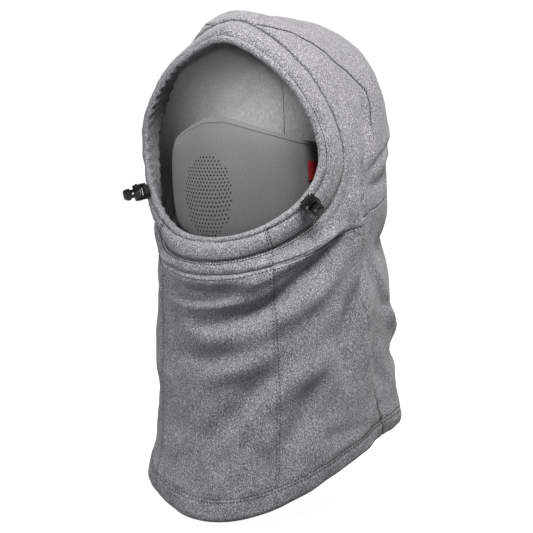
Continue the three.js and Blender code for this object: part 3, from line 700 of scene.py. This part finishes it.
def tunnel_piece(name, low, high, node):
    count = max(int((high - low) / TUNNEL_STEP), 8)
    turns = np.linspace(low, high, count)[:, None]
    along = TUNNEL_SECTION[:, 0][None, :]
    depth = TUNNEL_SECTION[:, 1][None, :]
    base = sleeve(turns, along)
    flat = base.reshape(-1, 3)
    gathers = waves(flat, 9, 8, 21).reshape(base.shape[:2])
    inner_side = np.clip((depth - 3.5) / 2, 0, 1)
    outer_side = np.clip((1.5 - depth) / 1.5, 0, 1)
    right_side = np.clip((np.cos(np.radians(turns + 105)) - 0.3) / 0.5, 0, 1)
    slant = turns * 1.5 + along * 20
    gathers = gathers * (0.35 * outer_side + 0.4 * inner_side)
    uneven = gathers + 1.3 * np.sin(slant * 2 * math.pi / 9) * right_side * inner_side
    loops = skin(turns, along, depth - uneven, sewn=False)
    piece = tube_mesh(name, loops, KNIT)
    return finish_piece(piece, "hood", "shell_knit", node)


CORD_PLACE = 0.55                        # along the sleeve
CORD_DEPTH = 3.4                         # to the cord's centre, mm under the sleeve's face
CORD_RADIUS = 1.0
CORD_GAP = 4                             # degrees between a lock's middle and the cord's end


def cord_run(name, low, high, node):
    """The elastic inside the tunnel."""
    turns = np.linspace(low, high, 120)
    centre = skin(turns, CORD_PLACE, CORD_DEPTH, sewn=False)
    forward = unit(np.gradient(centre, axis=0))
    out = skin(turns, CORD_PLACE, CORD_DEPTH - 1, sewn=False) - centre
    side = unit(np.cross(forward, out))
    out = np.cross(side, forward)
    around = np.linspace(0, 2 * math.pi, 10, endpoint=False)[:, None]
    spokes = out[:, None] * np.cos(around) + side[:, None] * np.sin(around)
    loops = centre[:, None] + spokes * CORD_RADIUS
    return finish_piece(tube_mesh(name, loops, ELASTIC), "hood", "elastic_cord", node)


cord_run("elastic_over_crown", LOCK_ANGLE + CORD_GAP, 360 - LOCK_ANGLE - CORD_GAP, "drawcord_over_crown")
cord_run("elastic_under_chin", CORD_GAP - LOCK_ANGLE, LOCK_ANGLE - CORD_GAP, "drawcord_under_chin")
tunnel_piece("tunnel_chin_cloth", -CHIN_SEAM, CHIN_SEAM, "drawcord_tunnel_chin")
tunnel_piece("tunnel_left_cloth", CHIN_SEAM, 180, "drawcord_tunnel_left")
tunnel_piece("tunnel_right_cloth", 180, 360 - CHIN_SEAM, "drawcord_tunnel_right")

# ------------------------------------------------------------------ face mask

MASK_CENTRE = np.array([(-84, -44), (-91, -22), (-94, 5), (-93, 28), (-88, 50), (-78, 67)], float)
MASK_END = np.array([(-13, 0), (-13, 44)], float)
MASK_HALF_WIDTH = 70
MASK_SPAN = 80
MASK_THICKNESS = 1.8
MASK_BAND = 0.07
MASK_TILT = 6.0                          # the top edge is up to this much higher on the wearer's left


def smooth_line(points, t):
    """Catmull-Rom curve through evenly keyed points."""
    place = np.clip(t, 0, 1) * (len(points) - 1)
    start = np.clip(place.astype(int), 0, len(points) - 2)
    f = (place - start)[..., None]
    before = points[np.maximum(start - 1, 0)]
    after = points[np.minimum(start + 2, len(points) - 1)]
    a, b = points[start], points[start + 1]
    return 0.5 * (2 * a + (b - before) * f + (2 * before - 5 * a + 4 * b - after) * f ** 2
                  + (3 * a - before - 3 * b + after) * f ** 3)


def mask_point(turn, height, rise=0.0):
    """A point of the mask's outer face, raised by rise mm. turn is in degrees from the nose."""
    turn, height = np.broadcast_arrays(np.asarray(turn, float), np.asarray(height, float))

    def face(turn, height):
        centre = smooth_line(MASK_CENTRE, height)
        end = MASK_END[0] + (MASK_END[1] - MASK_END[0]) * height[..., None]
        last = math.cos(math.radians(MASK_SPAN))
        reach = np.clip((np.cos(np.radians(turn)) - last) / (1 - last), 0, 1)
        slope = np.clip((60 - np.abs(turn)) / 52, 0, 1)
        beak = reach + (slope - reach) * height
        fullness = reach ** (1 - 0.25 * height ** 2)
        across = np.sin(np.radians(turn))
        tilt = MASK_TILT * np.clip(height, 0, 1) ** 2 * across * np.clip(reach / 0.4, 0, 1)
        return np.stack([
            MASK_HALF_WIDTH * across,
            end[..., 0] + (centre[..., 0] - end[..., 0]) * fullness,
            end[..., 1] + (centre[..., 1] - end[..., 1]) * beak + tilt,
        ], -1)

    low = np.clip(height - 0.01, 0, 1)
    high = np.clip(height + 0.01, 0, 1)
    normal = unit(np.cross(face(turn + 0.5, height) - face(turn - 0.5, height),
                           face(turn, high) - face(turn, low)))
    return face(turn, height) + normal * np.asarray(rise)[..., None]


def mask_patch(name, turns, heights, outer, inner, material, slot_name, node):
    turns = np.linspace(*turns)[None, :]
    heights = np.linspace(*heights)[:, None]
    outside = mask_point(turns, heights, outer)
    inside = mask_point(turns, heights, inner)
    return finish_piece(sheet_mesh(name, outside, inside, material), "mask", slot_name, node)


MM_PER_DEGREE = 1.45                     # size of the mask's flat pattern, round the face and up it
MM_PER_HEIGHT = 122.0
HOLE_RADIUS = 0.85
HOLE_PITCH = 3.7
ROW_STEP = 0.86                          # distance between rows of holes, as a share of the pitch
FIELD_WIDTH = 27                         # half width and half height of the field of holes
FIELD_HEIGHT = 34
FIELD_MIDDLE = 0.40                      # its middle, as a share of the mask's height


def vent_holes():
    """A plain oval field of staggered round holes over the nose and mouth, as (turn, height)."""
    holes = []
    for row in range(-12, 13):
        for column in range(-10, 11):
            x = (column + 0.5 * (row % 2)) * HOLE_PITCH
            z = row * HOLE_PITCH * ROW_STEP
            if (x / FIELD_WIDTH) ** 2 + (z / FIELD_HEIGHT) ** 2 <= 1:
                holes.append((x / MM_PER_DEGREE, FIELD_MIDDLE + z / MM_PER_HEIGHT))
    return holes


def perforated_panel():
    """The mask panel with real holes: its flat pattern is triangulated, then wrapped round the face."""
    holes = vent_holes()
    low, high = MASK_BAND, 1 - MASK_BAND
    points = []
    for turn in np.linspace(-MASK_SPAN, MASK_SPAN, 65):
        for height in np.linspace(low, high, 49):
            points.append((turn, height))
    sides = 10
    field = [p for p in points if all(
        math.hypot((p[0] - t) * MM_PER_DEGREE, (p[1] - h) * MM_PER_HEIGHT) > HOLE_RADIUS * 1.5
        for t, h in holes
    )]
    loops = []
    for t, h in holes:
        ring = []
        for k in range(sides):
            a = 2 * math.pi * k / sides
            ring.append(len(field))
            field.append((t + HOLE_RADIUS * math.cos(a) / MM_PER_DEGREE,
                          h + HOLE_RADIUS * math.sin(a) / MM_PER_HEIGHT))
        loops.append(ring)
    flat = [Vector((t * MM_PER_DEGREE, h * MM_PER_HEIGHT)) for t, h in field]
    edges = [(ring[k], ring[(k + 1) % sides]) for ring in loops for k in range(sides)]
    vertices, _, triangles, _, _, _ = geometry.delaunay_2d_cdt(flat, edges, [], 0, 1e-5)
    centres = np.array([(t * MM_PER_DEGREE, h * MM_PER_HEIGHT) for t, h in holes])
    kept = []
    for triangle in triangles:
        middle = sum((vertices[k] for k in triangle), Vector((0, 0))) / 3
        if ((centres - np.array(middle)) ** 2).sum(-1).min() > (HOLE_RADIUS * 0.93) ** 2:
            kept.append(list(triangle))
    flat = np.array([tuple(v) for v in vertices])
    turns, heights = flat[:, 0] / MM_PER_DEGREE, flat[:, 1] / MM_PER_HEIGHT
    outside = mask_point(turns, heights, 0.0)
    inside = mask_point(turns, heights, -MASK_THICKNESS)
    count = len(flat)
    faces = kept + [[k + count for k in reversed(t)] for t in kept]
    sides_used = dict.fromkeys(
        (a, b) for triangle in kept for a, b in zip(triangle, triangle[1:] + triangle[:1])
    )
    for a, b in sides_used:
        if (b, a) not in sides_used:
            faces.append([b, a, a + count, b + count])
    piece = new_object("mask_panel_cloth", np.concatenate([outside, inside]), faces, MASK)
    # The four-sided faces, the walls of the holes and of the panel's cut border, take the near-black
    # painted shade.
    piece.data.materials.append(HOLE_WALL_SHADE)
    for polygon in piece.data.polygons:
        polygon.material_index = 1 if len(polygon.vertices) == 4 else 0
    piece.data.set_sharp_from_angle(angle=math.radians(40))
    return finish_piece(piece, "mask", "mask_cloth", "mask_panel")


def make_mask():
    perforated_panel()
    span = (-MASK_SPAN, MASK_SPAN, 90)
    mask_patch("mask_top_band", span, (1 - MASK_BAND, 1, 7), 0.35, -2.0,
               BINDING, "mask_tape", "mask_top_binding")
    mask_patch("mask_bottom_band", span, (0, MASK_BAND, 7), 0.35, -2.0,
               BINDING, "mask_tape", "mask_bottom_binding")
    mask_patch("mask_red_tab", (66.5, 75.5, 12), (0.37, 0.66, 24), 1.1, 0.4,
               RED, "label_woven", "mask_label")


make_mask()

WING_END = 83.5                          # where a wing meets its anchor tape, mm from the middle
WING_THICKNESS = 1.4


def wing(name, sign, node):
    """The end of the mask, from the face back to its tape."""
    heights = np.linspace(0, 1, 20)[:, None]
    back = np.linspace(0, 1, 16)[None, :]
    front = mask_point(np.full_like(heights, sign * MASK_SPAN), heights)
    x = front[..., 0] + (sign * WING_END - front[..., 0]) * back ** 1.3
    y = front[..., 1] + (8 - front[..., 1]) * back
    z = front[..., 2] + (14 + 28 * heights - front[..., 2]) * back
    outside = np.stack(np.broadcast_arrays(x, y, z), -1)
    inside = outside - np.array([sign * WING_THICKNESS, 0, 0])
    piece = outward(sheet_mesh(name, outside, inside, MASK))
    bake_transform(piece)
    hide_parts(node)


wing("mask_wing_left_cloth", 1, "mask_wing_left")
wing("mask_wing_right_cloth", -1, "mask_wing_right")

# ------------------------------------------------------------------ stitches

def even_row(path, pitch):
    """Evenly spaced parameters along path(t), t from 0 to 1, about pitch mm apart."""
    t = np.linspace(0, 1, 500)
    points = path(t)
    length = np.concatenate([[0], np.cumsum(np.linalg.norm(np.diff(points, axis=0), axis=-1))])
    count = max(int(length[-1] / pitch), 2)
    return np.interp(np.linspace(0, length[-1], count + 1), length, t)


def capsule():
    """A unit stitch along x from -1 to 1 with unit radius, as (x, y, z) rows and faces."""
    sides = 6
    stations = [(-1.0, 0.25), (-0.82, 0.8), (-0.4, 1.0), (0.4, 1.0), (0.82, 0.8), (1.0, 0.25)]
    rows = []
    for x, r in stations:
        for k in range(sides):
            a = 2 * math.pi * k / sides
            rows.append((x, r * math.cos(a), r * math.sin(a)))
    faces = []
    for s in range(len(stations) - 1):
        for k in range(sides):
            a, b = s * sides + k, s * sides + (k + 1) % sides
            faces.append([a, b, b + sides, a + sides])
    faces.append(list(range(sides))[::-1])
    faces.append([(len(stations) - 1) * sides + k for k in range(sides)])
    return np.array(rows), faces


def stitches(name, starts, ends, normals, radius, material):
    """One capsule from each start to each end, its belly turned to the normal."""
    shape, faces = capsule()
    middle = (starts + ends) / 2
    half = (ends - starts) / 2
    forward = unit(half)
    side = unit(np.cross(normals, forward))
    up = np.cross(forward, side)
    length = np.linalg.norm(half, axis=-1)
    arch = 1 - shape[:, 0] ** 2
    vertices = (
        middle[:, None, :]
        + forward[:, None, :] * (shape[:, 0][None, :, None] * length[:, None, None])
        + side[:, None, :] * (shape[:, 1][None, :, None] * radius)
        + up[:, None, :] * ((shape[:, 2] * radius * 0.8 + arch * radius * 0.9)[None, :, None])
    )
    count = len(shape)
    all_faces = []
    for k in range(len(starts)):
        all_faces += [[v + k * count for v in face] for face in faces]
    piece = new_object(name, vertices.reshape(-1, 3), all_faces, material)
    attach(piece, "hood")


def surface(angle, along, lift):
    """A point lift mm above the cloth that shows, on the drawcord tunnel or past it."""
    top = TUNNEL_SECTION[1:TUNNEL_TOP_ROWS][::-1]
    hidden = np.interp(along, top[:, 0], top[:, 1])
    on_tunnel = skin(angle, along, hidden - lift, sewn=False)
    past_it = skin(angle, along, -lift)
    return np.where((along < TUNNEL_SEAM)[..., None], on_tunnel, past_it)


def skin_normal(angle, along):
    round_step, down_step = tangents(np.asarray(angle, float), np.asarray(along, float))
    return unit(np.cross(down_step, round_step))


def shifted(angle, along, sideways, downward):
    """Angle and place moved by so many mm round the sleeve and along it."""
    round_step, down_step = tangents(angle, along)
    return (angle + sideways / np.linalg.norm(round_step, axis=-1),
            along + downward / np.linalg.norm(down_step, axis=-1))


STITCH_LIFT = 0.15                       # how far a stitch stands off the cloth, mm


def straight_row(name, route, sideways=0.0, downward=0.0, pitch=3.0, fill=0.72, radius=0.42,
                 material=DARK_THREAD):
    """A row of lockstitch beside a seam. route(t) gives angle and along."""
    t = even_row(lambda s: sleeve(*route(s)), pitch)
    gap = (1 - fill) / 2
    begin = t[:-1] + gap * np.diff(t)
    end = t[1:] - gap * np.diff(t)
    ends = []
    for place in (begin, end):
        angle, along = shifted(*route(place), sideways, downward)
        ends.append((surface(angle, along, STITCH_LIFT), skin_normal(angle, along)))
    stitches(name, ends[0][0], ends[1][0], ends[0][1], radius, material)


def zigzag_row(name, route, width, across, pitch, radius=0.34, lift=STITCH_LIFT, material=DARK_THREAD,
               every=1):
    """Zigzag stitch over a seam: across is "round" or "down", the way the needle swings.
    With every at 2, only the strokes that slant one way show, as in an overlocked seam."""
    t = even_row(lambda s: sleeve(*route(s)), pitch)
    swing = np.where(np.arange(len(t)) % 2 == 0, width / 2, -width / 2)
    angle, along = route(t)
    move = (swing, 0 * swing) if across == "round" else (0 * swing, swing)
    angle, along = shifted(angle, along, *move)
    points = skin(angle, along, -lift)
    normals = skin_normal(angle, along)
    stitches(name, points[:-1:every], points[1::every], normals[:-1:every], radius, material)


def lining_row(name, angle, first, last):
    """The seam down the back of the lining, on its inner face."""
    t = even_row(lambda s: sleeve(np.full_like(s, angle), first + (last - first) * s), 2.2)
    along = first + (last - first) * t
    points = skin(np.full_like(along, angle), along, LINING_DEPTH + LINING_THICKNESS, sewn=False)
    normals = -skin_normal(np.full_like(along, angle), along)
    stitches(name, points[:-1], points[1:], normals[:-1], 0.3, LINING_THREAD)


def ring_route(along, low=-180, high=180):
    return lambda t: (low + (high - low) * t, np.full_like(t, along))


def seam_route(table, sign, first, last):
    def route(t):
        along = first + (last - first) * t
        return sign * seam_angle(table, along), along
    return route


def chin_route(sign, first, last):
    return lambda t: (np.full_like(t, sign * CHIN_SEAM), first + (last - first) * t)


def make_stitches():
    for side, sign in (("left", 1), ("right", -1)):
        for row, shift in (("a", -TWIN_NEEDLE / 2), ("b", TWIN_NEEDLE / 2)):
            straight_row(f"front_seam_{side}_{row}", chin_route(sign, 0.1, HEM - 0.01), shift,
                         pitch=2.9, fill=0.58, radius=0.5)
        zigzag_row(f"crown_seam_{side}_stitch", seam_route(CROWN_SEAM, sign, 1.06, 2.05), 2.4, "round",
                   1.7, lift=0.2, every=2)
        zigzag_row(f"neck_seam_{side}_stitch", seam_route(NECK_SEAM, sign, 4.6, 4.98), 1.8, "round", 2.6)
        straight_row(f"lip_stitch_{side}", ring_route(0.2, sign * 6, sign * 180), 0, 0, 2.6,
                     material=GREY_THREAD)
    zigzag_row("tunnel_seam_stitch", ring_route(TUNNEL_SEAM, 60, 300), 2.0, "down", 2.2, 0.22,
               material=GREY_THREAD)
    for row, shift in (("a", 1.0), ("b", 3.0), ("c", -1.0)):
        straight_row(f"tunnel_cover_stitch_{row}", ring_route(TUNNEL_SEAM, -60, 60), 0, shift, 2.4,
                     material=GREY_THREAD)
    lining_row("lining_seam_stitch", 205.5, 2.45, 2.95)
    straight_row("neckline_stitch", ring_route(NECKLINE, -84, 84), 0, 0.9, 3.0, material=GREY_THREAD)
    straight_row("hem_stitch_a", ring_route(HEM_STITCH), 0, -TWIN_NEEDLE / 2, 3.0, material=GREY_THREAD)
    straight_row("hem_stitch_b", ring_route(HEM_STITCH), 0, TWIN_NEEDLE / 2, 3.0, material=GREY_THREAD)


make_stitches()

# ------------------------------------------------------------------ cord locks, cords and tapes

def dress(node, material, bevel=0.0):
    """Gives a CAD node its finish, and rounds its edges where bevel says so."""
    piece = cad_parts[node]
    piece.data.materials.clear()
    piece.data.materials.append(material)
    if bevel:
        rounding = piece.modifiers.new("rounding", "BEVEL")
        rounding.width = bevel * MM
        rounding.segments = 3
        rounding.limit_method = "ANGLE"
        rounding.angle_limit = math.radians(38)
        rounding.harden_normals = False
    for polygon in piece.data.polygons:
        polygon.use_smooth = True
    piece.data.set_sharp_from_angle(angle=math.radians(38))


for side in ("left", "right"):
    dress(f"cord_lock_body_{side}", NYLON, 0.3)
    dress(f"cord_lock_plunger_{side}", NYLON, 0.2)
    dress(f"cord_lock_tab_{side}", WEBBING, 0.2)
    dress(f"cord_lock_spring_{side}", WIRE)
    dress(f"cord_loop_{side}", ELASTIC)
    dress(f"eyelet_{side}", NYLON, 0.1)
    dress(f"mask_anchor_tape_{side}", BINDING, 0.6)


def compress_springs():
    """Gives each spring a mesh of its own."""
    for side in ("left", "right"):
        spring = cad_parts[f"cord_lock_spring_{side}"]
        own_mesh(spring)


compress_springs()

# ------------------------------------------------------------------ stage and light

ROOM_LIGHT = 0.24


def make_stage():
    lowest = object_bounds()[0][2]
    bpy.ops.mesh.primitive_plane_add(size=14, location=(0, 0, lowest - 0.0005))
    floor = bpy.context.object
    floor.name = "floor"
    m = Nodes("floor_look")
    m.shader.inputs["Base Color"].default_value = (0.25, 0.25, 0.25, 1)
    m.shader.inputs["Roughness"].default_value = 0.95
    m.shader.inputs["Emission Color"].default_value = (1, 1, 1, 1)
    m.shader.inputs["Emission Strength"].default_value = 0.96
    floor.data.materials.append(m.material)
    floor.visible_diffuse = False        # the floor shows white but doesn't light the cloth from below


def near_light(name, place, target, size, power, colour=(1, 1, 1)):
    """A square lamp close by, so that its light fades with distance."""
    data = bpy.data.lights.new(name, "AREA")
    data.size = size
    data.energy = power
    data.color = colour
    lamp = bpy.data.objects.new(name, data)
    lamp.location = place
    lamp.rotation_euler = (Vector(place) - Vector(target)).to_track_quat("Z", "Y").to_euler()
    bpy.context.scene.collection.objects.link(lamp)
    return lamp


def hood_light(target, direction, distance, radius, power):
    """A soft-edged beam in through the face opening, for the lining alone."""
    data = bpy.data.lights.new("into_hood", "SPOT")
    data.energy = power
    data.spot_size = 2 * math.atan(radius / distance)
    data.spot_blend = 1.0
    data.shadow_soft_size = 0.03
    lamp = bpy.data.objects.new("into_hood", data)
    direction = Vector(direction).normalized()
    lamp.location = Vector(target) + direction * distance
    lamp.rotation_euler = direction.to_track_quat("Z", "Y").to_euler()
    bpy.context.scene.collection.objects.link(lamp)
    return lamp


def lining_collection(name):
    """The three lining pieces in a collection of that name."""
    collection = bpy.data.collections.new(name)
    for piece in ("hood_lining_side_left", "hood_lining_side_right", "hood_lining_crown"):
        collection.objects.link(bpy.data.objects[f"{piece}_cloth"])
    return collection


def make_light():
    """A room that reads white behind the object and lights it more dimly, and five lamps."""
    bpy.context.scene.view_settings.view_transform = "Standard"
    world = bpy.data.worlds.new("studio")
    bpy.context.scene.world = world
    world.use_nodes = True
    tree = world.node_tree
    room = tree.nodes["Background"]
    room.inputs["Color"].default_value = (0.97, 0.98, 1.0, 1)
    room.inputs["Strength"].default_value = ROOM_LIGHT
    backdrop = tree.nodes.new("ShaderNodeBackground")
    backdrop.inputs["Color"].default_value = (1, 1, 1, 1)
    backdrop.inputs["Strength"].default_value = 1.0
    seen = tree.nodes.new("ShaderNodeLightPath")
    mix = tree.nodes.new("ShaderNodeMixShader")
    tree.links.new(seen.outputs["Is Camera Ray"], mix.inputs[0])
    tree.links.new(room.outputs[0], mix.inputs[1])
    tree.links.new(backdrop.outputs[0], mix.inputs[2])
    tree.links.new(mix.outputs[0], tree.nodes["World Output"].inputs["Surface"])
    key = near_light("key", (0.43, -0.46, 0.68), (0, -0.03, -0.05), 0.30, 11.6, (1.0, 0.985, 0.97))
    near_light("top", (0.52, -0.05, 0.72), (0.02, 0.02, 0.1), 0.35, 6.5, (1.0, 0.97, 0.955))
    front = near_light("front", (-0.30, -0.56, 0.14), (-0.02, -0.08, -0.04), 0.3, 2.4, (0.97, 0.98, 1.0))
    near_light("back", (-0.60, 0.75, 0.40), (0, 0, -0.05), 0.5, 11.0)
    beam = hood_light((-0.070, 0.085, 0.052), (0.47, -0.86, 0.16), 0.5, 0.066, 16.0)
    beam.light_linking.receiver_collection = lining_collection("lining")
    all_but_lining = lining_collection("all_but_lining")
    for member in all_but_lining.collection_objects:
        member.light_linking.link_state = "EXCLUDE"
    for lamp in (key, front):
        lamp.light_linking.receiver_collection = all_but_lining


make_stage()
make_light()
